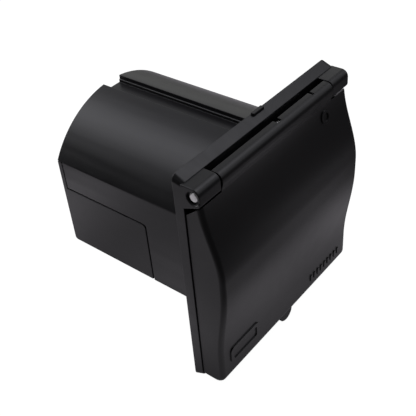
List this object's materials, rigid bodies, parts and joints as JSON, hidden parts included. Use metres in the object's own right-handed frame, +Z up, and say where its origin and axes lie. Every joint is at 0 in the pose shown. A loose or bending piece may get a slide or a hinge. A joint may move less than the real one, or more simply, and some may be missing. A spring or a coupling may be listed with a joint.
{
  "type": "flush-mounted trailer power inlet with hinged lid",
  "caption": "Flush-mounted trailer power inlet: square flange, round-topped box behind it, spring-loaded hinged lid over a male contact insert, and a removable rear cover.",
  "frame": {"origin": "on the flange's rear face (the plane of the wall it is fixed to), on its centre line and midway between the box's underside and the flange's lower edge, 40 mm below the flange's middle", "axes": "+Y into the wall along the box, -Y out towards the lid, +Z up, +X to the right seen from outside"},
  "size_m": [0.106, 0.1057, 0.1155],
  "materials": {
    "black_plastic": "satin moulded black nylon",
    "insert_plastic": "dark grey moulded thermoplastic",
    "rubber": "soft black rubber",
    "plated_steel": "bright zinc plate",
    "contact_brass": "nickel-plated brass"
  },
  "bodies": {
    "box": {"housing": "black_plastic", "rear_cover": "black_plastic", "contact_carrier": "insert_plastic", "clamp_bar": "insert_plastic", "carrier_gasket": "rubber", "cable_grommet": "rubber", "hinge_pin": "plated_steel", "torsion_spring": "plated_steel", "line_pin": "contact_brass", "neutral_pin": "contact_brass", "earth_pin": "contact_brass", "line_terminal_screw": "plated_steel", "neutral_terminal_screw": "plated_steel", "earth_terminal_screw": "plated_steel", "carrier_screw_1": "plated_steel", "carrier_screw_2": "plated_steel", "carrier_screw_3": "plated_steel", "carrier_screw_4": "plated_steel", "clamp_screw_1": "plated_steel", "clamp_screw_2": "plated_steel", "cover_screw_1": "plated_steel", "cover_screw_2": "plated_steel"},
    "lid": {"lid": "black_plastic", "lid_seal": "rubber"}
  },
  "joints": [
    {"name": "lid_hinge", "type": "hinge", "parent": "box", "child": "lid", "pos_m": [0, -0.0096, 0.09], "axis": [-1, 0, 0], "range_deg": [0, 110], "stiffness_Nm_per_rad": 0.02, "deforming": ["torsion_spring"]}
  ]
}
